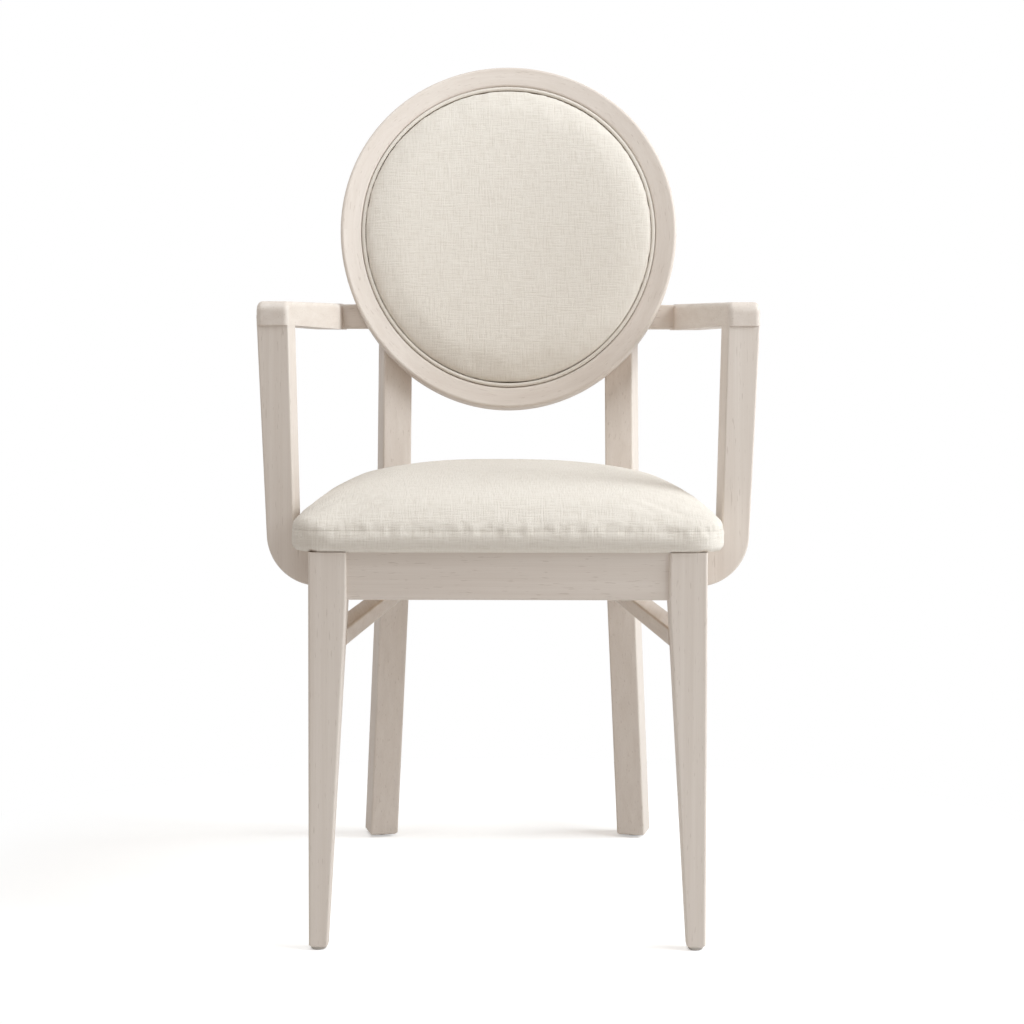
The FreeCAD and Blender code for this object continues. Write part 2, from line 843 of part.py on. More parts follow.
support_middle = value("support_set") + value("support_deep") / 2
dowel_across = -value("support_top_thick") / 2
arm_bottom = value("arm_top") - value("arm_front_thick")
return_middle = value("arm_top") - value("return_drop") - value("return_thick") / 2
return_along = (value("return_front") + value("arm_rear")) / 2
return_y = value("front_y") + return_along
arm_inner_x = armPoint(-value("arm_width"), return_along - value("arm_front"), 0).x
post_at_return = value("post_x") + value("post_width") / 2
upward = Vector(0, 0, 1)
outward = Vector(1, 0, 0)
half_pair = value("dowel_pair") / 2
dowels = [
    (armPoint(dowel_across, support_middle - half_pair, arm_bottom), upward, "arm_dowel_deep"),
    (armPoint(dowel_across, support_middle + half_pair, arm_bottom), upward, "arm_dowel_deep"),
    (Vector(arm_inner_x, return_y, return_middle), outward, "return_dowel_deep"),
    (Vector(post_at_return, return_y, return_middle), -outward, "post_dowel_deep"),
]


def dowelSet(gap):
    """The right-hand dowels, or with a gap the holes for them, each with its depth past the joint."""
    pins = []
    length = value("dowel_length")
    for joint, direction, deep in dowels:
        start = joint - direction * (length - value(deep) + gap)
        pins.append(Part.makeCylinder(value("dowel_radius") + gap, length + 2 * gap, start, direction))
    return Part.makeCompound(pins)


dowel_holes = solidFeature("dowel_holes", dowelSet(value("tenon_gap")))
dowel_half = dowelSet(0.0)
dowel_twin = dowel_half.mirror(Vector(), Vector(1, 0, 0))
addNode(solidFeature("arm_dowels", Part.makeCompound(dowel_half.Solids + dowel_twin.Solids)), "arm_dowels")


# Wood screws: a shank with a countersunk head, given by the middle of the head and the way it points
def screwShape(place_at, direction, length, gap=0.0):
    shank = Part.makeCylinder(value("screw_radius") + gap, length + gap, place_at, direction)
    head = Part.makeCone(
        value("screw_head_radius") + gap,
        value("screw_radius") + gap,
        value("screw_head_height"),
        place_at,
        direction,
    )
    return shank.fuse(head)


def screwNode(label, places):
    """A group of screws on the right-hand side and their mirrored twins, with the holes for them all."""
    right = [screwShape(*spot) for spot in places]
    left = [screw.mirror(Vector(), Vector(1, 0, 0)) for screw in right]
    solids = [solid for screw in right + left for solid in screw.Solids]
    addNode(solidFeature(label, Part.makeCompound(solids)), label)
    holes = [screwShape(*spot, value("screw_gap")) for spot in places]
    both = holes + [hole.mirror(Vector(), Vector(1, 0, 0)) for hole in holes]
    hole_solids = [solid for hole in both for solid in hole.Solids]
    return solidFeature(label + "_holes", Part.makeCompound(hole_solids))


def railPoint(across, along, up):
    turned = Rotation(Vector(0, 0, 1), value("rail_turn")).multVec(Vector(across, along, 0))
    base = Vector(value("leg_outer") - value("side_recess"), value("front_y") + value("leg_width"), up)
    return base + turned


rail_out = Rotation(Vector(0, 0, 1), value("rail_turn")).multVec(Vector(1, 0, 0))
support_along = (value("arm_front") - value("leg_width")) + value("support_set") + value("support_deep") / 2
support_heights = (
    value("support_foot_low") + value("support_screw_low"),
    value("support_foot_top") - value("support_screw_high"),
)
support_screws = [
    (railPoint(-value("rail_thick"), support_along, up), rail_out, value("support_screw_length"))
    for up in support_heights
]
support_holes = screwNode("arm_support_screws", support_screws)

post_lean = math.radians(value("recline"))
post_axis = Vector(0, math.sin(post_lean), math.cos(post_lean))
post_out = Rotation(Vector(0, 0, 1), -value("post_turn")).multVec(Vector(1, 0, 0))
screw_in = post_out.cross(post_axis)


def ringScrewHead(aside):
    """Where a screw that meets the middle of the ring's band, to one side of the post's middle, starts."""
    across = value("post_x") + aside
    half_across = (value("ring_width") - value("ring_face")) / 2
    half_up = (value("ring_tall") - value("ring_face")) / 2
    up = -half_up * math.sqrt(1 - (across / half_across) ** 2)
    on_ring = ring.Placement.multVec(Vector(across, faceDepth(across, value("ring_thick")), up))
    return on_ring - screw_in * (value("post_deep") * math.cos(post_lean))


ring_screws = [
    (ringScrewHead(side * value("ring_screw_aside")), screw_in, value("ring_screw_length"))
    for side in (-1, 1)
]
ring_holes = screwNode("back_ring_screws", ring_screws)

# Corner blocks: short braces across the corners of the seat frame, seated on both rails
block_low = "rail_top - block_drop - block_height"
side_face_x = "(leg_outer - side_recess - rail_thick / cos(rail_turn))"
front_face_y = "(front_y + rail_recess + rail_thick)"
front_near = "(%s - %s + 2 * block_gap)" % (shoulder_y, leg_inner)
front_far = "(%s + block_thick * sqrt(2))" % front_near
post_corner_x = "(post_x - post_width / 2 * cos(post_turn) - post_deep / 2 * sin(post_turn))"
post_corner_y = "(front_y + post_y + post_width / 2 * sin(post_turn) - post_deep / 2 * cos(post_turn))"
rear_near = "(%s + %s - 2 * block_gap)" % (post_corner_x, post_corner_y)
rear_far = "(%s - block_thick * sqrt(2))" % rear_near


def onSideRail(diagonal, slope):
    """Where the line y = slope * x + diagonal meets the inner face of the side rail."""
    reach = "(%s - (%s - %s) * tan(rail_turn))" % (side_face_x, diagonal, shoulder_y)
    if slope > 0:
        across = "(%s / (1 + tan(rail_turn)))" % reach
        return across, "%s + %s" % (across, diagonal)
    across = "(%s / (1 - tan(rail_turn)))" % reach
    return across, "%s - %s" % (diagonal, across)


front_block = padBody(
    "corner_block_front_blank",
    "plan",
    [
        ("%s - %s" % (front_face_y, front_far), front_face_y),
        ("%s - %s" % (front_face_y, front_near), front_face_y),
        onSideRail(front_near, 1),
        onSideRail(front_far, 1),
    ],
    block_low,
    "block_height",
)
rear_block = padBody(
    "corner_block_rear_blank",
    "plan",
    [
        ("%s - %s" % (rear_far, rear_rail_y), rear_rail_y),
        ("%s - %s" % (rear_near, rear_rail_y), rear_rail_y),
        onSideRail(rear_near, -1),
        onSideRail(rear_far, -1),
    ],
    block_low,
    "block_height",
)

# Corner block screws run through each block into the leg or post behind it, seat screws up into the board
diagonal = math.sqrt(0.5)
block_level = value("rail_top") - value("block_drop") - value("block_height") / 2
block_bottom = value("rail_top") - value("block_drop") - value("block_height")
turn = math.radians(value("post_turn"))
half_width = value("post_width") / 2
half_deep = value("post_deep") / 2
leg_corner = Vector(
    value("leg_outer") - value("leg_width"), value("front_y") + value("leg_width"), block_level
)
post_corner = Vector(
    value("post_x") - half_width * math.cos(turn) - half_deep * math.sin(turn),
    value("front_y") + value("post_y") + half_width * math.sin(turn) - half_deep * math.cos(turn),
    block_level,
)
to_leg = Vector(diagonal, -diagonal, 0)
to_post = Vector(diagonal, diagonal, 0)
block_depth = value("block_thick") + value("block_gap") / diagonal
block_screws = [
    (corner - way * block_depth, way, value("block_screw_length"))
    for corner, way in ((leg_corner, to_leg), (post_corner, to_post))
]
block_holes = screwNode("corner_block_screws", block_screws)


def seatScrew(corner, way):
    """A screw up through the underside of a block, to one side of the diagonal through its corner."""
    middle = corner - way * (block_depth - value("block_thick") / 2)
    aside = upward.cross(way) * value("seat_screw_aside")
    head = Vector(middle.x + aside.x, middle.y + aside.y, block_bottom)
    return head, upward, value("seat_screw_length")


seat_screws = [seatScrew(leg_corner, to_leg), seatScrew(post_corner, to_post)]
seat_holes = screwNode("seat_board_screws", seat_screws)
addPair(cut("corner_block_front", front_block, block_holes, seat_holes), "corner_block_front")
addPair(cut("corner_block_rear", rear_block, block_holes, seat_holes), "corner_block_rear")

# Seat board on the rails, and the space for it in the cushion
seat_front = "(front_y - seat_overhang)"
seat_back = "(front_y + seat_rear)"


def seatBoard(name, spare):
    """The board's body, larger all round by a spare where it is the tool for its recess."""
    front_half = "(seat_front_half - seat_board_inset + %s)" % spare
    rear_half = "(seat_rear_half - seat_board_inset + %s)" % spare
    board_front = "(%s + seat_board_inset - %s)" % (seat_front, spare)
    board_back = "(%s - seat_board_inset + %s)" % (seat_back, spare)
    body = padBody(
        name,
        "plan",
        [
            ("-" + front_half, board_front),
            (front_half, board_front),
            (rear_half, board_back),
            ("-" + rear_half, board_back),
        ],
        "rail_top - %s" % spare,
        "seat_board_thick + 2 * %s" % spare,
    )
    dressBody(
        body, name + "_corners", "Fillet", "seat_board_corner", lambda edge: box(edge).ZLength > 5
    )
    return body


notch = rearPost("post_notch", value("post_clear"))
notch_twin = mirror("post_notch_twin", notch)
seat_board = cut("seat_board_whole", seatBoard("seat_board_blank", "0"), notch, notch_twin, seat_holes)
addNode(seat_board, "seat_board")


def seatSection(height, inset):
    """The cushion's outline at a height, set in all round, with corners that ease as it is set in."""
    front_half = value("seat_front_half") - inset
    rear_half = value("seat_rear_half") - inset
    front = value("front_y") - value("seat_overhang") + inset
    back = value("front_y") + value("seat_rear") - inset
    corners = [(-front_half, front), (front_half, front), (rear_half, back), (-rear_half, back)]
    ease = value("seat_corner_ease") * inset
    radii = [value("seat_corner") + ease] * 2 + [value("seat_rear_corner") + ease] * 2
    return roundedOutline(corners, radii, height)


def seatCushion(name, roll_steps=7):
    """An upright border drawn in at its foot, under a roll that flattens towards the crown."""
    low = value("rail_top") + value("seat_lift")
    border = low + value("seat_border")
    rise = value("seat_tall") - value("seat_border")
    wires = [seatSection(low, value("seat_draw")), seatSection(low + value("seat_border") / 2, 0.0)]
    for step in range(roll_steps):
        share = (step / (roll_steps - 1)) ** 2
        height = border + rise * (1 - (1 - share) ** 2) ** value("seat_fullness")
        wires.append(seatSection(height, value("seat_roll") * share))
    return solidFeature(name, Part.makeLoft(wires, True, False))


board_recess = seatBoard("seat_board_recess", "seat_gap")
cushion = cut("seat_cushion_whole", seatCushion("seat_cushion_form"), board_recess, notch, notch_twin)
addNode(cushion, "seat_cushion")


# Glides under the feet, each a disc with a nail
def glide(foot_x, foot_y, gap=0.0):
    at = Vector(foot_x, foot_y, 0)
    disc = Part.makeCylinder(value("glide_radius"), value("glide_height"), at)
    rim = [edge for edge in disc.Edges if box(edge).ZMax < value("glide_edge") / 2]
    disc = disc.makeChamfer(value("glide_edge"), rim)
    nail_start = at + Vector(0, 0, value("glide_height") / 2)
    nail_length = value("glide_height") / 2 + value("glide_nail_length")
    nail = Part.makeCylinder(value("glide_nail_radius") + gap, nail_length, nail_start)
    return disc.fuse(nail)


feet = [
    (value("leg_outer") - value("foot_width") / 2, value("front_y") + value("foot_width") / 2),
    (value("post_x") + value("rear_foot_out"), value("front_y") + value("post_y") + value("rear_foot_back")),
]
glides = [glide(side * x, y) for x, y in feet for side in (1, -1)]
addNode(solidFeature("foot_glides", Part.makeCompound(glides)), "foot_glides")
hole_gap = value("screw_gap") / 2
glide_holes = solidFeature("glide_holes", Part.makeCompound([glide(x, y, hole_gap) for x, y in feet]))

# Finished pieces: the blanks with their mortises and holes
addPair(
    cut("front_leg_whole", leg, front_mortise, side_mortise, stub_mortise, block_holes, glide_holes),
    "front_leg",
)
post_mortises = (rear_mortise, side_mortise, stub_mortise)
post_holes = (dowel_holes, ring_holes, block_holes, glide_holes)
addPair(cut("rear_post_whole", post, *post_mortises, *post_holes), "rear_post")
side_rail = fuse("side_rail_tenoned", side_coped, side_tenon)
addPair(cut("side_rail_whole", side_rail, support_holes), "side_rail")
addPair(cut("arm_support_whole", support_coped, dowel_holes, support_holes), "arm_support")
addPair(cut("arm_whole", arm, dowel_holes), "arm")
addPair(cut("arm_return_whole", return_coped, dowel_holes), "arm_return")
addNode(cut("back_ring_drilled", ring, ring_holes), "back_ring")

# Check every object, then write each node's file
doc.recompute()
for item in doc.Objects:
    if "Invalid" in item.State or "Error" in item.State:
        raise RuntimeError("%s failed: %s" % (item.Name, item.State))
for item in nodes:
    if item.Shape.isNull() or not item.Shape.isValid():
        raise RuntimeError("%s has no valid shape" % item.Label)
os.makedirs("parts", exist_ok=True)
for item in nodes:
    item.Shape.exportStep(os.path.join("parts", item.Label + ".step"))
whole = Part.makeCompound([item.Shape for item in nodes])
limits = whole.optimalBoundingBox()
print("%d nodes, %d solids" % (len(nodes), len(whole.Solids)))
print("x %.2f %.2f, y %.2f %.2f, z %.2f %.2f" % (
    limits.XMin, limits.XMax, limits.YMin, limits.YMax, limits.ZMin, limits.ZMax))
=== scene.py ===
import math
import bpy
import bmesh
from mathutils import Matrix, Vector, noise


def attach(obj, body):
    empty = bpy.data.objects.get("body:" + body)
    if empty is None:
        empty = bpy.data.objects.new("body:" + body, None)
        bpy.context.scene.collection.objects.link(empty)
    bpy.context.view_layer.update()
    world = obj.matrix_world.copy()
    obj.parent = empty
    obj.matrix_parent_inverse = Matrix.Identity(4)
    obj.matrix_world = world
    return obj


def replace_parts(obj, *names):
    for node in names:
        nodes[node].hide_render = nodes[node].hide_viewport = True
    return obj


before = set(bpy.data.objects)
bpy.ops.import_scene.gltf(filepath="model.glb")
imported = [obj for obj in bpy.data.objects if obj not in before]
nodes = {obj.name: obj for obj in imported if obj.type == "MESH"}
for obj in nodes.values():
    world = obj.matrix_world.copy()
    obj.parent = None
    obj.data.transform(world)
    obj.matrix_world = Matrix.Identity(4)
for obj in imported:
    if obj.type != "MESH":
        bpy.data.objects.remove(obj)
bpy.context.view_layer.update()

view = bpy.context.scene.view_settings
view.view_transform = "Standard"
print("frame loaded:", len(nodes), "nodes")


# Small helpers for shader trees

def addNode(tree, kind, inputs=None, **settings):
    node = tree.nodes.new(kind)
    for name, setting in settings.items():
        setattr(node, name, setting)
    for name, source in (inputs or {}).items():
        feed(tree, source, node.inputs[name])
    return node


def feed(tree, source, socket):
    if isinstance(source, bpy.types.NodeSocket):
        tree.links.new(source, socket)
    else:
        socket.default_value = source


def maths(tree, operation, first, second=0.0, clamp=False):
    node = addNode(tree, "ShaderNodeMath", {0: first, 1: second}, operation=operation, use_clamp=clamp)
    return node.outputs[0]


def scaled(tree, vector, factors):
    node = addNode(tree, "ShaderNodeVectorMath", {0: vector, 1: factors}, operation="MULTIPLY")
    return node.outputs[0]


def noiseAt(tree, vector, detail=2.0, rough=0.5, distortion=0.0):
    inputs = {"Vector": vector, "Scale": 1.0, "Detail": detail, "Roughness": rough, "Distortion": distortion}
    return addNode(tree, "ShaderNodeTexNoise", inputs).outputs["Fac"]


def stretch(tree, value, low, high, toLow=0.0, toHigh=1.0, smooth=False):
    inputs = {"Value": value, "From Min": low, "From Max": high, "To Min": toLow, "To Max": toHigh}
    kind = "SMOOTHSTEP" if smooth else "LINEAR"
    return addNode(tree, "ShaderNodeMapRange", inputs, interpolation_type=kind).outputs["Result"]


def blendColors(tree, factor, first, second, kind="MIX"):
    node = addNode(tree, "ShaderNodeMix", data_type="RGBA", blend_type=kind)
    feed(tree, factor, node.inputs[0])
    feed(tree, first, node.inputs[6])
    feed(tree, second, node.inputs[7])
    return node.outputs[2]


def newGroup(name, inputs, outputs):
    group = bpy.data.node_groups.new(name, "ShaderNodeTree")
    for label, kind, start in inputs:
        socket = group.interface.new_socket(label, in_out="INPUT", socket_type="NodeSocket" + kind)
        if start is not None:
            socket.default_value = start
    for label, kind in outputs:
        group.interface.new_socket(label, in_out="OUTPUT", socket_type="NodeSocket" + kind)
    return group, group.nodes.new("NodeGroupInput").outputs, group.nodes.new("NodeGroupOutput").inputs


def newMaterial(name):
    material = bpy.data.materials.new(name)
    material.use_nodes = True
    tree = material.node_tree
    return material, tree, tree.nodes["Principled BSDF"]


def placeGroup(tree, group, inputs):
    node = tree.nodes.new("ShaderNodeGroup")
    node.node_tree = group
    for name, source in inputs.items():
        feed(tree, source, node.inputs[name])
    return node.outputs


def bumpInto(tree, shader, height, strength, distance):
    bump = addNode(tree, "ShaderNodeBump", {"Height": height, "Strength": strength, "Distance": distance})
    tree.links.new(bump.outputs["Normal"], shader.inputs["Normal"])


def makeGrainGroup():
    # The grain runs along the vector's Z, in metres
    group, source, sink = newGroup(
        "straightGrain",
        [("Vector", "Vector", None),
         ("Light", "Color", (0.8, 0.7, 0.6, 1)), ("Dark", "Color", (0.6, 0.5, 0.4, 1)),
         ("Fleck", "Color", (0.4, 0.3, 0.2, 1)), ("Streaks", "Float", 0.5), ("Flecks", "Float", 0.3)],
        [("Color", "Color"), ("Mask", "Float"), ("Height", "Float")],
    )
    vector = source["Vector"]
    drift = noiseAt(group, scaled(group, vector, (16, 16, 1.6)), 2)
    bands = noiseAt(group, scaled(group, vector, (130, 130, 1.8)), 3, 0.55, 0.4)
    fibres = noiseAt(group, scaled(group, vector, (1100, 1100, 16)), 2, 0.6)
    spots = noiseAt(group, scaled(group, vector, (620, 620, 70)), 1, 0.5)
    wide = maths(group, "MULTIPLY", stretch(group, bands, 0.3, 0.7), 0.55)
    fine = maths(group, "MULTIPLY", stretch(group, fibres, 0.3, 0.7), 0.3)
    slow = maths(group, "MULTIPLY", stretch(group, drift, 0.3, 0.7), 0.45)
    mask = maths(group, "ADD", maths(group, "ADD", wide, fine), slow)
    depth = maths(group, "MULTIPLY", mask, source["Streaks"], True)
    plain = blendColors(group, depth, source["Light"], source["Dark"])
    dots = stretch(group, spots, 0.66, 0.74)
    dotted = maths(group, "MULTIPLY", dots, source["Flecks"])
    feed(group, blendColors(group, dotted, plain, source["Fleck"]), sink["Color"])
    feed(group, mask, sink["Mask"])
    feed(group, maths(group, "SUBTRACT", fibres, maths(group, "MULTIPLY", dots, 0.6)), sink["Height"])
    return group


beech = {
    "light": (0.785, 0.707, 0.640, 1),
    "dark": (0.630, 0.540, 0.468, 1),
    "fleck": (0.43, 0.34, 0.27, 1),
    "streaks": 0.62,
    "flecks": 0.35,
    "bump": 0.10,
    "coat": 0.12,
}
rawBeech = {
    "light": (0.66, 0.50, 0.34, 1),
    "dark": (0.50, 0.34, 0.21, 1),
    "fleck": (0.30, 0.18, 0.10, 1),
    "streaks": 0.8,
    "flecks": 0.6,
    "bump": 0.25,
    "coat": 0.0,
}
grain = makeGrainGroup()
quarter = math.pi / 2
# How each piece's grain direction is turned to Z
grainTurns = {
    "upright": (0.0, 0.0, 0.0),
    "across": (0.0, -quarter, 0.0),
    "railRight": (quarter, -math.radians(7.2), 0.0),
    "railLeft": (quarter, math.radians(7.2), 0.0),
    "armRight": (quarter, -math.radians(4.5), 0.0),
    "armLeft": (quarter, math.radians(4.5), 0.0),
}


def finishWood(tree, shader, vector, wood):
    inputs = {"Vector": vector, "Light": wood["light"], "Dark": wood["dark"], "Fleck": wood["fleck"],
              "Streaks": wood["streaks"], "Flecks": wood["flecks"]}
    out = placeGroup(tree, grain, inputs)
    tree.links.new(out["Color"], shader.inputs["Base Color"])
    tree.links.new(stretch(tree, out["Mask"], 0.2, 1.0, 0.46, 0.60), shader.inputs["Roughness"])
    shader.inputs["Coat Weight"].default_value = wood["coat"]
    shader.inputs["Coat Roughness"].default_value = 0.4
    bumpInto(tree, shader, out["Height"], wood["bump"], 0.0004)


def woodMaterial(name, turn, wood):
    material, tree, shader = newMaterial(name)
    place = addNode(tree, "ShaderNodeTexCoord").outputs["Object"]
    turned = addNode(tree, "ShaderNodeMapping", {"Vector": place, "Rotation": turn}).outputs[0]
    finishWood(tree, shader, turned, wood)
    return material


beechIn = {name: woodMaterial("beech_" + name, turn, beech) for name, turn in grainTurns.items()}
rawBlock = woodMaterial("raw_beech_block", grainTurns["across"], rawBeech)
rawDowel = woodMaterial("raw_beech_dowel", grainTurns["upright"], rawBeech)

# The back's own frame: reclined, with the ring's middle surface on a cylinder whose axis is in front
backFrame = {"y": 0.22525, "z": 0.74638, "recline": 11.0, "frontRadius": 0.6065, "axisY": -0.620}
reclined = Matrix.Translation((0, backFrame["y"], backFrame["z"])) @ Matrix.Rotation(
    -math.radians(backFrame["recline"]), 4, "X")


def ringMaterial():
    # The grain follows the ring round: polar coordinates in the reclined frame
    material, tree, shader = newMaterial("beech_ring")
    place = addNode(tree, "ShaderNodeTexCoord").outputs["Object"]
    shifted = addNode(tree, "ShaderNodeVectorMath", {0: place, 1: (0, backFrame["y"], backFrame["z"])},
                      operation="SUBTRACT").outputs[0]
    turn = (math.radians(backFrame["recline"]), 0, 0)
    upright = addNode(tree, "ShaderNodeMapping", {"Vector": shifted, "Rotation": turn}).outputs[0]
    parts = addNode(tree, "ShaderNodeSeparateXYZ", {0: upright}).outputs
    squares = maths(tree, "ADD", maths(tree, "MULTIPLY", parts[0], parts[0]),
                    maths(tree, "MULTIPLY", parts[2], parts[2]))
    radius = maths(tree, "SQRT", squares)
    angle = maths(tree, "ARCTAN2", parts[2], parts[0])
    along = maths(tree, "MULTIPLY", angle, 0.2)
    polar = addNode(tree, "ShaderNodeCombineXYZ", {0: radius, 1: parts[1], 2: along}).outputs[0]
    finishWood(tree, shader, polar, beech)
    return material


birch = {
    "light": (0.70, 0.56, 0.39, 1),
    "dark": (0.57, 0.42, 0.27, 1),
    "fleck": (0.40, 0.26, 0.15, 1),
    "edgeLight": (0.70, 0.55, 0.37, 1),
    "edgeDark": (0.46, 0.31, 0.18, 1),
    "ply": 0.003,
}


def plywoodMaterial():
    material, tree, shader = newMaterial("birch_plywood")
    place = addNode(tree, "ShaderNodeTexCoord").outputs["Object"]
    turned = addNode(tree, "ShaderNodeMapping", {"Vector": place, "Rotation": grainTurns["across"]}).outputs[0]
    inputs = {"Vector": turned, "Light": birch["light"], "Dark": birch["dark"], "Fleck": birch["fleck"],
              "Streaks": 0.7, "Flecks": 0.2}
    face = placeGroup(tree, grain, inputs)
    up = addNode(tree, "ShaderNodeSeparateXYZ", {0: place}).outputs[2]
    ply = maths(tree, "SINE", maths(tree, "MULTIPLY", up, 2 * math.pi / birch["ply"]))
    edge = blendColors(tree, stretch(tree, ply, -0.3, 0.3), birch["edgeDark"], birch["edgeLight"])
    normal = addNode(tree, "ShaderNodeTexCoord").outputs["Normal"]
    level = maths(tree, "ABSOLUTE", addNode(tree, "ShaderNodeSeparateXYZ", {0: normal}).outputs[2])
    tree.links.new(blendColors(tree, stretch(tree, level, 0.4, 0.6), edge, face["Color"]),
                   shader.inputs["Base Color"])
    shader.inputs["Roughness"].default_value = 0.68
    bumpInto(tree, shader, face["Height"], 0.2, 0.0004)
    return material


def mottledMaterial(name, light, dark, scale, metal, rough, bump):
    material, tree, shader = newMaterial(name)
    place = addNode(tree, "ShaderNodeTexCoord").outputs["Object"]
    cloud = noiseAt(tree, scaled(tree, place, (scale, scale, scale)), 4, 0.6)
    tree.links.new(blendColors(tree, cloud, light, dark), shader.inputs["Base Color"])
    tree.links.new(stretch(tree, cloud, 0.2, 0.8, rough, rough + 0.16), shader.inputs["Roughness"])
    shader.inputs["Metallic"].default_value = metal
    bumpInto(tree, shader, cloud, bump, 0.0003)
    return material


ringBeech = ringMaterial()
plywood = plywoodMaterial()
zinc = mottledMaterial("zinc_plate", (0.66, 0.66, 0.63, 1), (0.50, 0.50, 0.47, 1), 900, 1.0, 0.34, 0.1)
glideNylon = mottledMaterial("glide_nylon", (0.58, 0.54, 0.49, 1), (0.48, 0.44, 0.40, 1), 500, 0.0, 0.48, 0.2)
print("wood, metal and nylon made")


def makeClothPlaneGroup():
    # Flat coordinates for the weave, taken from the plane that the surface faces most
    group, source, sink = newGroup("clothPlane", [("Place", "Vector", None), ("Normal", "Vector", None)],
                                   [("Vector", "Vector")])
    place = addNode(group, "ShaderNodeSeparateXYZ", {0: source["Place"]}).outputs
    way = addNode(group, "ShaderNodeSeparateXYZ", {0: source["Normal"]}).outputs
    size = [maths(group, "ABSOLUTE", way[axis]) for axis in range(3)]
    front = addNode(group, "ShaderNodeCombineXYZ", {0: place[0], 1: place[2]}).outputs[0]
    side = addNode(group, "ShaderNodeCombineXYZ", {0: place[1], 1: place[2]}).outputs[0]
    top = addNode(group, "ShaderNodeCombineXYZ", {0: place[0], 1: place[1]}).outputs[0]
    sideways = maths(group, "GREATER_THAN", size[0], size[1])
    level = maths(group, "GREATER_THAN", size[2], 0.62)
    flat = addNode(group, "ShaderNodeMix", data_type="VECTOR")
    feed(group, sideways, flat.inputs[0])
    feed(group, front, flat.inputs[4])
    feed(group, side, flat.inputs[5])
    whole = addNode(group, "ShaderNodeMix", data_type="VECTOR")
    feed(group, level, whole.inputs[0])
    feed(group, flat.outputs[1], whole.inputs[4])
    feed(group, top, whole.inputs[5])
    feed(group, whole.outputs[1], sink["Vector"])
    return group


def makeWeaveGroup():
    # Plain weave of uneven yarns, with slubs along both directions; darker between the yarns is painted shade,
    # while thick and thin slubs are the yarns' own tone
    group, source, sink = newGroup(
        "slubWeave",
        [("Vector", "Vector", None), ("Yarns", "Float", 700.0), ("Light", "Color", (0.9, 0.85, 0.8, 1)),
         ("Dark", "Color", (0.7, 0.65, 0.6, 1)), ("Slubs", "Float", 0.5)],
        [("Color", "Color"), ("Tone", "Float"), ("Height", "Float")],
    )
    vector = source["Vector"]
    wander = noiseAt(group, scaled(group, vector, (120, 120, 0)), 2)
    sway = maths(group, "MULTIPLY", maths(group, "SUBTRACT", wander, 0.5), 0.0022)
    parts = addNode(group, "ShaderNodeSeparateXYZ", {0: vector}).outputs
    turns = maths(group, "MULTIPLY", source["Yarns"], math.pi)
    waves = []
    for axis in (0, 1):
        moved = maths(group, "ADD", parts[axis], sway)
        waves.append(maths(group, "SINE", maths(group, "MULTIPLY", moved, turns)))
    crossing = maths(group, "MULTIPLY", waves[0], waves[1])  # over and under, alternating
    warp = maths(group, "ABSOLUTE", waves[0])
    weft = maths(group, "ABSOLUTE", waves[1])
    over = stretch(group, crossing, -0.2, 0.2)
    yarn = addNode(group, "ShaderNodeMix", data_type="FLOAT")
    feed(group, over, yarn.inputs[0])
    feed(group, warp, yarn.inputs[2])
    feed(group, weft, yarn.inputs[3])
    slubAcross = noiseAt(group, scaled(group, vector, (55, 560, 0)), 2, 0.6)
    slubUp = noiseAt(group, scaled(group, vector, (560, 55, 7)), 2, 0.6)
    thick = [stretch(group, yarns, 0.46, 0.72) for yarns in (slubAcross, slubUp)]
    thin = [stretch(group, yarns, 0.46, 0.26) for yarns in (slubAcross, slubUp)]
    slubs = maths(group, "MAXIMUM", thick[0], thick[1])
    gaps = maths(group, "MAXIMUM", thin[0], thin[1])
    rough = maths(group, "MULTIPLY", maths(group, "SUBTRACT", slubs, gaps), source["Slubs"])
    height = maths(group, "ADD", maths(group, "MULTIPLY", yarn.outputs[0], 0.5), rough)
    # Colour from height: the over-and-under part is painted shade in the weave's hollows, the slub part is the
    # yarns' own thickness
    toneAndShade = maths(group, "ADD", maths(group, "MULTIPLY", height, 0.62), 0.38, True)
    feed(group, blendColors(group, toneAndShade, source["Dark"], source["Light"]), sink["Color"])
    feed(group, toneAndShade, sink["Tone"])
    feed(group, height, sink["Height"])
    return group


fabric = {
    "light": (0.815, 0.756, 0.682, 1),
    # dark: the colour of the yarns' dips and thin slubs, partly painted shade between yarns
    "dark": (0.690, 0.622, 0.540, 1),
    # seam: the colour of painted shade in the seat cushion's seam crease
    "seam": (0.36, 0.29, 0.22, 1),
    "yarns": 640.0,
    "slubs": 0.62,
    "bump": 0.34,
    "sheen": 0.18,
    "seamLevel": 0.4316,
}
clothPlane = makeClothPlaneGroup()
weave = makeWeaveGroup()


def makeSeamGroup():
    # A thin line at one height along the seam, wandering a little: it masks painted shade in the seam's crease
    # and a groove in the bump
    group, source, sink = newGroup("seamLine", [("Place", "Vector", None), ("Level", "Float", 0.43)],
                                   [("Mask", "Float")])
    wander = maths(group, "MULTIPLY", noiseAt(group, scaled(group, source["Place"], (70, 70, 20)), 2), 0.0012)
    up = addNode(group, "ShaderNodeSeparateXYZ", {0: source["Place"]}).outputs[2]
    off = maths(group, "ABSOLUTE", maths(group, "SUBTRACT", maths(group, "ADD", up, wander), source["Level"]))
    feed(group, stretch(group, off, 0.0011, 0.0002, smooth=True), sink["Mask"])
    return group


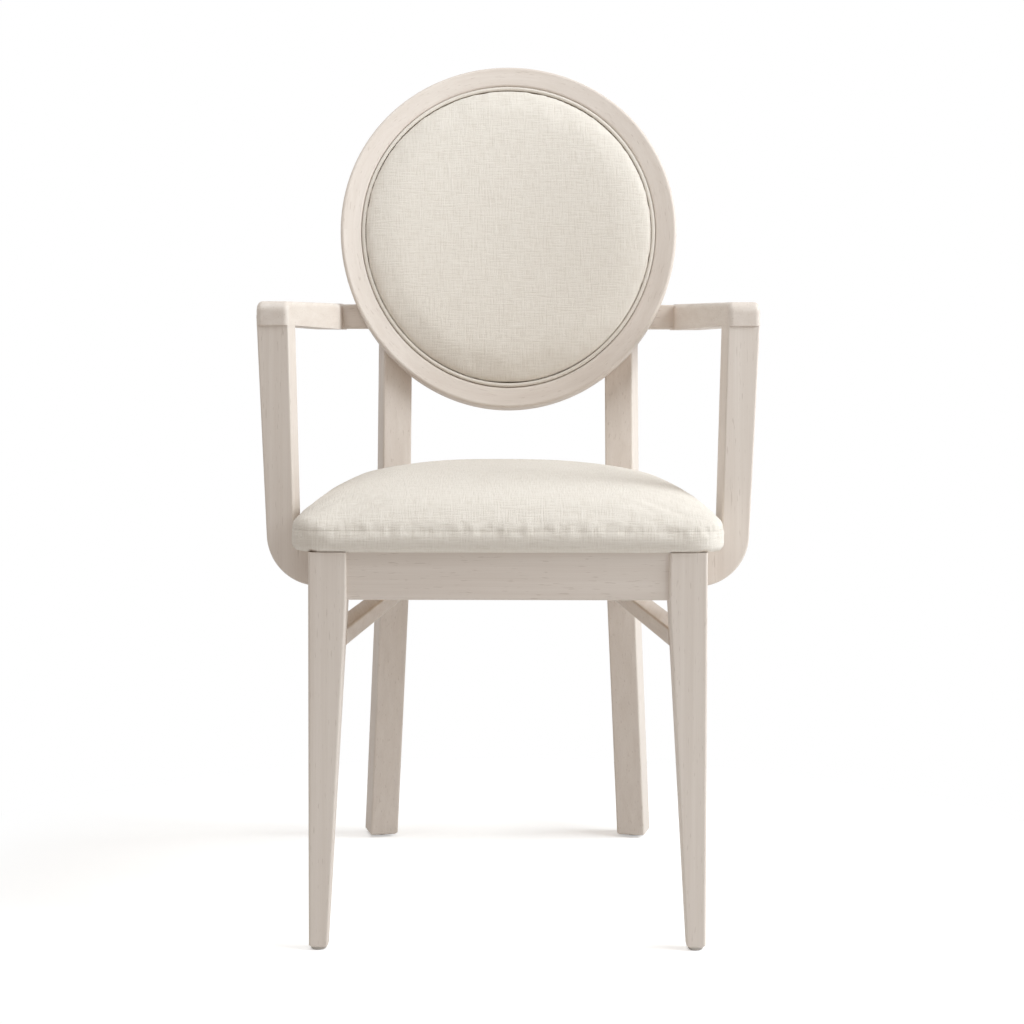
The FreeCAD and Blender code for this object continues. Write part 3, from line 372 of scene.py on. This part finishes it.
def fabricMaterial(name, yarns, slubs, bump, seamLevel=None):
    material, tree, shader = newMaterial(name)
    place = addNode(tree, "ShaderNodeTexCoord").outputs
    flat = placeGroup(tree, clothPlane, {"Place": place["Object"], "Normal": place["Normal"]})["Vector"]
    out = placeGroup(tree, weave, {"Vector": flat, "Yarns": yarns, "Light": fabric["light"],
                                   "Dark": fabric["dark"], "Slubs": slubs})
    color, height = out["Color"], out["Height"]
    if seamLevel is not None:
        # Along the seam the colour is darkened, painted shade in its crease, and the bump sinks into a groove
        seam = placeGroup(tree, seamLine, {"Place": place["Object"], "Level": seamLevel})["Mask"]
        color = blendColors(tree, maths(tree, "MULTIPLY", seam, 0.16), color, fabric["seam"])
        height = maths(tree, "SUBTRACT", height, maths(tree, "MULTIPLY", seam, 0.4))
    tree.links.new(color, shader.inputs["Base Color"])
    tree.links.new(stretch(tree, out["Tone"], 0.0, 1.0, 0.96, 0.84), shader.inputs["Roughness"])
    shader.inputs["Sheen Weight"].default_value = fabric["sheen"]
    shader.inputs["Sheen Roughness"].default_value = 0.5
    shader.inputs["Specular IOR Level"].default_value = 0.2
    bumpInto(tree, shader, height, bump, 0.0009)
    return material


seamLine = makeSeamGroup()
cloth = fabricMaterial("cream_cloth", fabric["yarns"], fabric["slubs"], fabric["bump"])
seatCloth = fabricMaterial("cream_seat_cloth", fabric["yarns"], fabric["slubs"], fabric["bump"],
                           fabric["seamLevel"])
weltCloth = fabricMaterial("cream_welt_cloth", 900.0, 0.3, 0.25)
print("fabric made")


def meshFromRings(name, rings):
    # Rings of equally many points, joined in turn, with a fan at each end
    built = bmesh.new()
    rows = [[built.verts.new(point) for point in ring] for ring in rings]
    count = len(rings[0])
    for lower, upper in zip(rows, rows[1:]):
        for i in range(count):
            j = (i + 1) % count
            built.faces.new((lower[i], lower[j], upper[j], upper[i]))
    for row, flip in ((rows[0], True), (rows[-1], False)):
        middle = built.verts.new(sum((v.co for v in row), Vector()) / count)
        for i in range(count):
            j = (i + 1) % count
            built.faces.new((row[j], row[i], middle) if flip else (row[i], row[j], middle))
    bmesh.ops.recalc_face_normals(built, faces=built.faces)
    return meshObject(name, built)


def meshObject(name, built):
    mesh = bpy.data.meshes.new(name)
    built.to_mesh(mesh)
    built.free()
    piece = bpy.data.objects.new(name, mesh)
    bpy.context.scene.collection.objects.link(piece)
    return piece


def bakeModifiers(piece):
    bpy.context.view_layer.update()
    seen = piece.evaluated_get(bpy.context.evaluated_depsgraph_get())
    mesh = bpy.data.meshes.new_from_object(seen)
    piece.modifiers.clear()
    piece.data = mesh


def fineMesh(piece, voxel):
    remesh = piece.modifiers.new("fine", "REMESH")
    remesh.mode = "VOXEL"
    remesh.voxel_size = voxel
    bakeModifiers(piece)
    relax = piece.modifiers.new("relax", "SMOOTH")
    relax.factor = 0.5
    relax.iterations = 2
    bakeModifiers(piece)


cover = {"quality": 4, "mass": 0.25, "tension": 22, "shear": 8, "bending": 1.2, "frames": 12}


def swell(piece, isHeld, pressure, furthest, evened):
    # Air pressure under a held rim, each point moved no further than the cap, wrinkles evened out
    start = [v.co.copy() for v in piece.data.vertices]
    held = piece.vertex_groups.new(name="held")
    held.add([i for i, co in enumerate(start) if isHeld(co)], 1.0, "REPLACE")
    soft = piece.modifiers.new("cover", "CLOTH")
    soft.settings.quality = cover["quality"]
    soft.settings.mass = cover["mass"]
    soft.settings.tension_stiffness = cover["tension"]
    soft.settings.compression_stiffness = cover["tension"]
    soft.settings.shear_stiffness = cover["shear"]
    soft.settings.bending_stiffness = cover["bending"]
    soft.settings.use_pressure = True
    soft.settings.uniform_pressure_force = pressure
    soft.settings.vertex_group_mass = "held"
    soft.settings.effector_weights.gravity = 0.0
    soft.point_cache.frame_start = 1
    soft.point_cache.frame_end = cover["frames"]
    scene = bpy.context.scene
    for step in range(1, cover["frames"] + 1):
        scene.frame_set(step)
    seen = piece.evaluated_get(bpy.context.evaluated_depsgraph_get())
    moved = [v.co.copy() for v in seen.data.vertices]
    piece.modifiers.clear()
    piece.vertex_groups.clear()
    scene.frame_set(1)
    for vertex, before, after in zip(piece.data.vertices, start, moved):
        step = after - before
        if step.length > furthest:
            step *= furthest / step.length
        vertex.co = before + step
    relax = piece.modifiers.new("even", "SMOOTH")
    relax.factor = 0.5
    relax.iterations = evened
    bakeModifiers(piece)


def roundOff(piece):
    smooth = piece.modifiers.new("smooth", "SUBSURF")
    smooth.levels = 1
    smooth.render_levels = 1
    bakeModifiers(piece)
    for face in piece.data.polygons:
        face.use_smooth = True


# Seat cushion: a border upright from the rails, a seam, and a crown that rises from it on all sides
cushion = {
    "frontY": -0.27875,
    "backY": 0.18225,
    "frontHalf": 0.2295,
    "rearHalf": 0.1830,
    "frontCorner": 0.040,
    "rearCorner": 0.022,
    "foot": 0.4091,
    "seam": 0.4310,
    "roll": 0.008,
    "crown": 0.0512,
    "lean": 0.0065,
    "frontCurve": (2.1, 0.5),
    "rearCurve": (4.2, 0.49),
    "sideCurve": (2.3, 0.31),
    "boardInset": 0.0150,
    "boardTop": 0.4216,
    "voxel": 0.0048,
    "pressure": 3.0,
    "furthest": 0.003,
    "smaller": 0.0005,
    "evened": 3,
    "notchFrom": 0.355,
    "notchRoom": 0.0035,
    "settled": 0.0016,
    "gatherAbove": 0.012,
    "gatherBelow": 0.005,
    "gatherDepth": 0.0015,
    "creaseHalf": 0.0028,
    "creaseDepth": 0.0009,
}


def cushionOutline(inset, height):
    front = cushion["frontY"] + inset
    back = cushion["backY"] - inset
    slope = (cushion["frontHalf"] - cushion["rearHalf"]) / (cushion["backY"] - cushion["frontY"])
    corners = [
        (-(cushion["frontHalf"] - slope * inset - inset), front, cushion["frontCorner"]),
        (cushion["frontHalf"] - slope * inset - inset, front, cushion["frontCorner"]),
        (cushion["rearHalf"] + slope * inset - inset, back, cushion["rearCorner"]),
        (-(cushion["rearHalf"] + slope * inset - inset), back, cushion["rearCorner"]),
    ]
    points = []
    for number, (x, y, radius) in enumerate(corners):
        here = Vector((x, y))
        before = (Vector(corners[number - 1][:2]) - here).normalized()
        after = (Vector(corners[(number + 1) % 4][:2]) - here).normalized()
        easy = max(radius - inset, 0.004)
        reach = easy / math.tan(before.angle(after) / 2)
        middle = here + (before + after).normalized() * easy / math.sin(before.angle(after) / 2)
        start = here + before * reach - middle
        sweep = start.angle_signed(here + after * reach - middle)
        for step in range(13):
            turn = -sweep * step / 12
            points.append(middle + Matrix.Rotation(turn, 2) @ start)
        nextX, nextY, nextRadius = corners[(number + 1) % 4]
        there = Vector((nextX, nextY))
        begin = points[-1]
        nextEasy = max(nextRadius - inset, 0.004)
        beyond = Vector(corners[(number + 2) % 4][:2]) - there
        nextReach = nextEasy / math.tan((-after).angle(beyond.normalized()) / 2)
        finish = there - after * nextReach
        for step in range(1, 24):
            points.append(begin.lerp(finish, step / 24))
    return [Vector((p.x, p.y, height)) for p in points]


def cushionTop(point, inset):
    along = (point.y - cushion["frontY"]) / (cushion["backY"] - cushion["frontY"])
    half = cushion["frontHalf"] + (cushion["rearHalf"] - cushion["frontHalf"]) * along
    share = max(-1.0, min(point.x / half, 1.0))
    across = min(abs(share + cushion["lean"] / half * (1 - share * share)), 1.0)
    lengthwise = 2 * along - 1
    fromFront, fromRear = cushion["frontCurve"], cushion["rearCurve"]
    if lengthwise < 0:
        profile = (1 - min(-lengthwise, 1.0) ** fromFront[0]) ** fromFront[1]
    else:
        profile = (1 - min(lengthwise, 1.0) ** fromRear[0]) ** fromRear[1]
    rolled = 1 - min(inset / cushion["roll"], 1.0)
    edge = math.sqrt(1 - rolled * rolled)
    fromSide = cushion["sideCurve"]
    return cushion["seam"] + cushion["crown"] * edge * profile * (1 - across ** fromSide[0]) ** fromSide[1]


def makeCushion():
    small = cushion["smaller"]
    rings = [
        cushionOutline(0.12, cushion["boardTop"]),
        cushionOutline(0.05, cushion["boardTop"]),
        cushionOutline(cushion["boardInset"], cushion["boardTop"]),
        cushionOutline(cushion["boardInset"], cushion["foot"]),
        cushionOutline(small + 0.0012, cushion["foot"]),
        cushionOutline(small + 0.0010, cushion["foot"] + 0.006),
        cushionOutline(small + 0.0004, cushion["foot"] + 0.014),
    ]
    insets = (0.0, 0.0006, 0.002, 0.004, 0.007, 0.0105, 0.015, 0.020, 0.026, 0.034, 0.044, 0.056, 0.070,
              0.086, 0.104, 0.124, 0.145, 0.163)
    for inset in insets:
        ring = cushionOutline(inset + small, 0.0)
        for point in ring:
            point.z = cushionTop(point, inset)
        rings.append(ring)
    piece = meshFromRings("seatCushion", rings)
    for side in ("left", "right"):
        cutPost(piece, "rear_post_" + side)
    fineMesh(piece, cushion["voxel"])
    swell(piece, cushionHeld, cushion["pressure"], cushion["furthest"], cushion["evened"])
    roundOff(piece)
    pucker(piece)
    return piece


def cutPost(piece, post):
    # A notch with a little room all round the post, from the hull of its part above the rails
    built = bmesh.new()
    for vertex in nodes[post].data.vertices:
        if vertex.co.z > cushion["notchFrom"]:
            built.verts.new(vertex.co)
    hull = bmesh.ops.convex_hull(built, input=built.verts)
    bmesh.ops.delete(built, geom=hull["geom_interior"], context="VERTS")
    bmesh.ops.recalc_face_normals(built, faces=built.faces)
    built.normal_update()
    for vertex in built.verts:
        vertex.co += vertex.normal * cushion["notchRoom"]
    tool = meshObject("notchTool", built)
    notch = piece.modifiers.new("notch", "BOOLEAN")
    notch.operation = "DIFFERENCE"
    notch.solver = "EXACT"
    notch.object = tool
    bakeModifiers(piece)
    bpy.data.objects.remove(tool)


def cushionHeld(co):
    nearPost = abs(abs(co.x) - 0.139) < 0.028 and co.y > 0.140
    return co.z < cushion["foot"] + 0.009 or (co.z < cushion["boardTop"] + 0.004 and
                                              abs(co.x) < 0.15 and -0.25 < co.y < 0.15) or nearPost


def pucker(piece):
    # The edge settled on the rails, and a crease along the seam with small gathers, mostly above it
    facing = [vertex.normal.z for vertex in piece.data.vertices]
    for vertex, up in zip(piece.data.vertices, facing):
        co = vertex.co
        if co.z < cushion["foot"] + cushion["settled"]:
            co.z = cushion["foot"]
        reach = cushion["gatherAbove" if co.z > cushion["seam"] else "gatherBelow"]
        high = (co.z - cushion["seam"]) / reach
        strength = math.exp(-high * high)
        if strength < 0.02 or up < -0.3:
            continue
        ripple = noise.noise(Vector((co.x * 95, co.y * 95, co.z * 40)))
        ripple += 0.6 * noise.noise(Vector((co.x * 230 + 9, co.y * 230, co.z * 80)))
        crease = math.exp(-((co.z - cushion["seam"]) / cushion["creaseHalf"]) ** 2)
        away = Vector((co.x, co.y + 0.05, 0)).normalized()
        depth = cushion["gatherDepth"] * strength * ripple - cushion["creaseDepth"] * crease
        vertex.co = co + away * depth


seatCushion = makeCushion()
seatCushion.data.materials.clear()
seatCushion.data.materials.append(seatCloth)
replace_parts(seatCushion, "seat_cushion")
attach(seatCushion, "root")
print("seat cushion made:", len(seatCushion.data.polygons), "faces, top at",
      round(max(vertex.co.z for vertex in seatCushion.data.vertices), 4))

# Back pads: oval domes on the bent board, between depths behind the ring's front face
frontPad = {
    "across": 0.1745,
    "up": 0.1845,
    "base": 0.0101,
    "edge": -0.0020,
    "crown": -0.0185,
    "voxel": 0.0042,
    "pressure": 3.0,
    "furthest": 0.0020,
    "evened": 14,
}
rearPad = {
    "across": 0.1745,
    "up": 0.1845,
    "base": 0.0171,
    "edge": 0.0222,
    "crown": 0.0072,
    "voxel": 0.0042,
    "pressure": 2.0,
    "furthest": 0.0015,
    "evened": 14,
}


def onBack(across, up, depth):
    away = math.sqrt((backFrame["frontRadius"] + depth) ** 2 - across ** 2) + backFrame["axisY"]
    return reclined @ Vector((across, away, up))


def backDepth(point):
    local = reclined.inverted() @ point
    return math.hypot(local.x, local.y - backFrame["axisY"]) - backFrame["frontRadius"]


padShares = {
    "under": (0.25, 0.5, 0.75, 0.9, 0.99),
    "over": (1.0, 0.996, 0.988, 0.975, 0.955, 0.93, 0.90, 0.86, 0.81, 0.75, 0.68, 0.6, 0.5, 0.4, 0.3, 0.2, 0.1),
    "dome": (2.3, 0.55),
}


def makePad(name, pad):
    def ring(share, depth):
        wide, tall = pad["across"] * share, pad["up"] * share
        angles = [2 * math.pi * i / 120 for i in range(120)]
        return [onBack(wide * math.cos(a), tall * math.sin(a), depth) for a in angles]

    rings = [ring(share, pad["base"]) for share in padShares["under"]]
    rings.append(ring(1.0, pad["base"] * 0.6 + pad["edge"] * 0.4))
    fullness, roundness = padShares["dome"]
    for share in padShares["over"]:
        dome = (1 - share ** fullness) ** roundness
        rings.append(ring(share, pad["edge"] + pad["crown"] * dome))
    piece = meshFromRings(name, rings)
    fineMesh(piece, pad["voxel"])
    inside = min(pad["base"], pad["edge"]) + 0.6 * abs(pad["base"] - pad["edge"])

    def isHeld(co):
        if pad["crown"] < 0:
            return backDepth(co) > pad["edge"] + 0.004
        return backDepth(co) < inside

    swell(piece, isHeld, pad["pressure"], pad["furthest"], pad["evened"])
    roundOff(piece)
    piece.data.materials.clear()
    piece.data.materials.append(cloth)
    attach(piece, "root")
    return piece


backPadFront = makePad("backPadFront", frontPad)
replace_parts(backPadFront, "back_pad_front")
backPadRear = makePad("backPadRear", rearPad)
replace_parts(backPadRear, "back_pad_rear")
print("back pads made:", len(backPadFront.data.polygons), "and", len(backPadRear.data.polygons), "faces")

# Welts: a cord wrapped in the same cloth, laid round each pad
welt = {"across": 0.1758, "up": 0.1858, "radius": 0.00235, "frontDepth": 0.0009, "rearDepth": 0.0222,
        "around": 420, "sides": 12}


def makeWelt(name, depth):
    def onOval(angle, deep):
        return onBack(welt["across"] * math.cos(angle), welt["up"] * math.sin(angle), deep)

    rows = []
    total = welt["around"]
    for i in range(total):
        angle = 2 * math.pi * i / total
        centre = onOval(angle, depth)
        ahead = onOval(angle + 0.01, depth)
        outward = (onOval(angle, depth + 0.01) - centre).normalized()
        along = (ahead - centre).normalized()
        sideways = along.cross(outward).normalized()
        row = []
        for j in range(welt["sides"]):
            turn = 2 * math.pi * j / welt["sides"]
            gather = 1 + 0.05 * noise.noise(Vector((angle * 60, turn * 1.1, depth * 900)))
            away = outward * math.cos(turn) + sideways * math.sin(turn)
            row.append(centre + away * welt["radius"] * gather)
        rows.append(row)
    built = bmesh.new()
    grid = [[built.verts.new(point) for point in row] for row in rows]
    for i in range(total):
        nextRow = grid[(i + 1) % total]
        for j in range(welt["sides"]):
            k = (j + 1) % welt["sides"]
            built.faces.new((grid[i][j], nextRow[j], nextRow[k], grid[i][k]))
    bmesh.ops.recalc_face_normals(built, faces=built.faces)
    piece = meshObject(name, built)
    for face in piece.data.polygons:
        face.use_smooth = True
    piece.data.materials.append(weltCloth)
    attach(piece, "root")
    return piece


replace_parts(makeWelt("backWeltFront", welt["frontDepth"]), "back_welt_front")
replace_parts(makeWelt("backWeltRear", welt["rearDepth"]), "back_welt_rear")
print("welts made")


finishes = {
    "front_leg": (beechIn["upright"],) * 2,
    "rear_post": (beechIn["upright"],) * 2,
    "arm_support": (beechIn["upright"],) * 2,
    "side_rail": (beechIn["railLeft"], beechIn["railRight"]),
    "side_stretcher": (beechIn["railLeft"], beechIn["railRight"]),
    "arm": (beechIn["armLeft"], beechIn["armRight"]),
    "arm_return": (beechIn["across"],) * 2,
    "corner_block_front": (rawBlock,) * 2,
    "corner_block_rear": (rawBlock,) * 2,
    "front_rail": beechIn["across"],
    "rear_rail": beechIn["across"],
    "back_ring": ringBeech,
    "back_board": plywood,
    "seat_board": plywood,
    "arm_dowels": rawDowel,
    "foot_glides": glideNylon,
}
for name in ("corner_block_screws", "seat_board_screws", "arm_support_screws", "back_ring_screws"):
    finishes[name] = zinc


def dress(node, material):
    piece = nodes[node]
    if not piece.material_slots:
        piece.data.materials.append(material)
    for slot in piece.material_slots:
        slot.material = material


for name, finish in finishes.items():
    if isinstance(finish, tuple):
        dress(name + "_left", finish[0])
        dress(name + "_right", finish[1])
    else:
        dress(name, finish)
print("CAD pieces dressed")

studio = {
    "floorReach": 4.0,
    "floorLow": -0.0004,
    "paper": (0.9, 0.9, 0.9, 1),
    "lift": 0.42,
    "whiteFrom": 0.75,
    "world": 0.315,
    "worldColor": (1.0, 0.88, 0.77, 1),
    "lampColor": (0.88, 0.95, 1.0),
    "sidePlace": (3.4, -0.34, 2.03),
    "sideSize": 1.7,
    "sideWatts": 93.0,
    "keyPlace": (1.6, -1.0, 1.8),
    "keySize": 1.0,
    "keyWatts": 19.0,
    "topPlace": (-0.6, -0.5, 2.3),
    "topSize": 1.4,
    "topWatts": 17.5,
}


def makeFloor():
    built = bmesh.new()
    reach, low = studio["floorReach"], studio["floorLow"]
    signs = ((-1, -1), (1, -1), (1, 1), (-1, 1))
    built.faces.new([built.verts.new((x * reach, y * reach, low)) for x, y in signs])
    floor = meshObject("floor", built)
    material = bpy.data.materials.new("white_floor")
    material.use_nodes = True
    tree = material.node_tree
    tree.nodes.remove(tree.nodes["Principled BSDF"])
    paper = addNode(tree, "ShaderNodeBsdfDiffuse", {"Color": studio["paper"]}).outputs[0]
    lift = addNode(tree, "ShaderNodeEmission", {"Strength": studio["lift"]}).outputs[0]
    white = addNode(tree, "ShaderNodeEmission", {"Strength": 1.0}).outputs[0]
    lifted = addNode(tree, "ShaderNodeAddShader", {0: paper, 1: lift}).outputs[0]
    place = addNode(tree, "ShaderNodeTexCoord").outputs["Object"]
    away = addNode(tree, "ShaderNodeVectorMath", {0: place}, operation="LENGTH").outputs["Value"]
    far = stretch(tree, away, studio["whiteFrom"] * 0.6, studio["whiteFrom"], smooth=True)
    seen = addNode(tree, "ShaderNodeMixShader", {0: far, 1: lifted, 2: white}).outputs[0]
    camera = addNode(tree, "ShaderNodeLightPath").outputs["Is Camera Ray"]
    both = addNode(tree, "ShaderNodeMixShader", {0: camera, 1: paper, 2: seen}).outputs[0]
    tree.links.new(both, tree.nodes["Material Output"].inputs["Surface"])
    floor.data.materials.append(material)


def makeWorld():
    world = bpy.data.worlds.new("studioWorld")
    bpy.context.scene.world = world
    world.use_nodes = True
    tree = world.node_tree
    backdrop = tree.nodes["Background"]
    path = addNode(tree, "ShaderNodeLightPath").outputs
    bright = maths(tree, "MAXIMUM", path["Is Camera Ray"], path["Is Glossy Ray"])
    bright = maths(tree, "MAXIMUM", bright, path["Is Transmission Ray"])
    tree.links.new(blendColors(tree, bright, studio["worldColor"], (1, 1, 1, 1)), backdrop.inputs["Color"])
    tree.links.new(stretch(tree, bright, 0.0, 1.0, studio["world"], 1.0), backdrop.inputs["Strength"])


def areaLamp(name, place, size, watts):
    lamp = bpy.data.lights.new(name, "AREA")
    lamp.shape = "DISK"
    lamp.size = size
    lamp.energy = watts
    lamp.color = studio["lampColor"]
    light = bpy.data.objects.new(name, lamp)
    light.location = place
    light.rotation_euler = (Vector((0, 0, 0.5)) - Vector(place)).to_track_quat("-Z", "Y").to_euler()
    bpy.context.scene.collection.objects.link(light)


photoView = {"place": (0, -2.5616, 0.6476), "down": 2.321, "roll": 0.111, "lens": 79.383, "sensor": 36,
             "shiftX": 0.0037, "shiftY": -0.10}


def makeCamera():
    data = bpy.data.cameras.new("photoCamera")
    data.sensor_width = photoView["sensor"]
    data.lens = photoView["lens"]
    data.shift_x = photoView["shiftX"]
    data.shift_y = photoView["shiftY"]
    camera = bpy.data.objects.new("photoCamera", data)
    camera.location = photoView["place"]
    pitch = Matrix.Rotation(math.radians(90 - photoView["down"]), 3, "X")
    roll = Matrix.Rotation(math.radians(photoView["roll"]), 3, "Z")
    camera.rotation_euler = (pitch @ roll).to_euler()
    bpy.context.scene.collection.objects.link(camera)
    bpy.context.scene.camera = camera


makeFloor()
makeWorld()
for name in ("side", "key", "top"):
    areaLamp(name, studio[name + "Place"], studio[name + "Size"], studio[name + "Watts"])
makeCamera()
print("floor, light and camera made")
